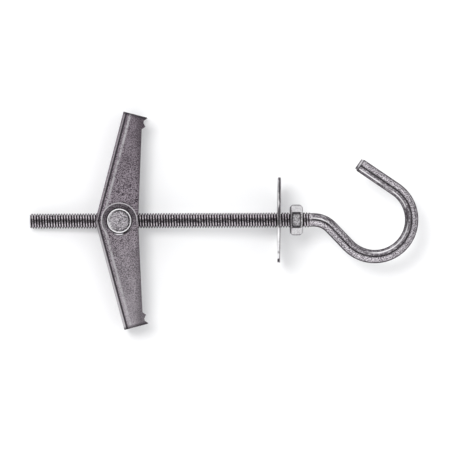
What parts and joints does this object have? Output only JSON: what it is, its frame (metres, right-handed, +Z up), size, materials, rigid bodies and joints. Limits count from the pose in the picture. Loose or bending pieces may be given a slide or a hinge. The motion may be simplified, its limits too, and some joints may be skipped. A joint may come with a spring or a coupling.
{
  "type": "spring toggle with hook",
  "caption": "Wire hook on a threaded rod with a nut, a flat washer and a sprung toggle whose folded wings open behind a hollow ceiling.",
  "frame": {"origin": "centre of the footprint, on the floor that the part lies on", "axes": "+X along the rod toward the hook, +Y toward the upper wing, +Z up along the cross pin; the rod rises toward the hook by the pitch at which the washer's rim and the cross pin's lower head touch the floor"},
  "size_m": [0.1004, 0.0566, 0.0221],
  "materials": {
    "plated_wire": "bright zinc plating on drawn wire, dark in the thread's roots",
    "plated_nut": "bright zinc plating on a hex nut",
    "plated_washer": "bright zinc plating on punched sheet",
    "plated_pin": "grey zinc plating, a bright turned-over rim",
    "spring_steel": "bare spring wire",
    "plated_sheet": "dull dark grey plating on rough stamped sheet"
  },
  "bodies": {
    "rod": {"hook_rod": "plated_wire"},
    "toggle": {"trunnion": "plated_pin", "spring": "spring_steel"},
    "upper_wing": {"upper_wing": "plated_sheet"},
    "lower_wing": {"lower_wing": "plated_sheet"},
    "nut": {"hex_nut": "plated_nut"},
    "washer": {"washer": "plated_washer"}
  },
  "joints": [
    {"name": "toggle_travel", "type": "slide", "parent": "rod", "child": "toggle", "axis": [0.9918, 0, 0.1282], "range_m": [-0.018, 0.006]},
    {"name": "upper_wing_fold", "type": "hinge", "parent": "toggle", "child": "upper_wing", "pos_m": [-0.02687, 0, 0.00573], "axis": [0.1282, 0, -0.9918], "range_deg": [0, 75], "stiffness_Nm_per_rad": 0.01, "springref_deg": -51.57, "deforming": ["spring"]},
    {"name": "lower_wing_fold", "type": "hinge", "parent": "toggle", "child": "lower_wing", "pos_m": [-0.02687, 0, 0.00573], "axis": [-0.1282, 0, 0.9918], "range_deg": [0, 75], "stiffness_Nm_per_rad": 0.01, "springref_deg": -51.57, "deforming": ["spring"]},
    {"name": "nut_travel", "type": "slide", "parent": "rod", "child": "nut", "axis": [0.9918, 0, 0.1282], "range_m": [-0.0035, 0.0016]},
    {"name": "washer_travel", "type": "slide", "parent": "nut", "child": "washer", "axis": [0.9918, 0, 0.1282], "range_m": [-0.0032, 0.0023]}
  ]
}
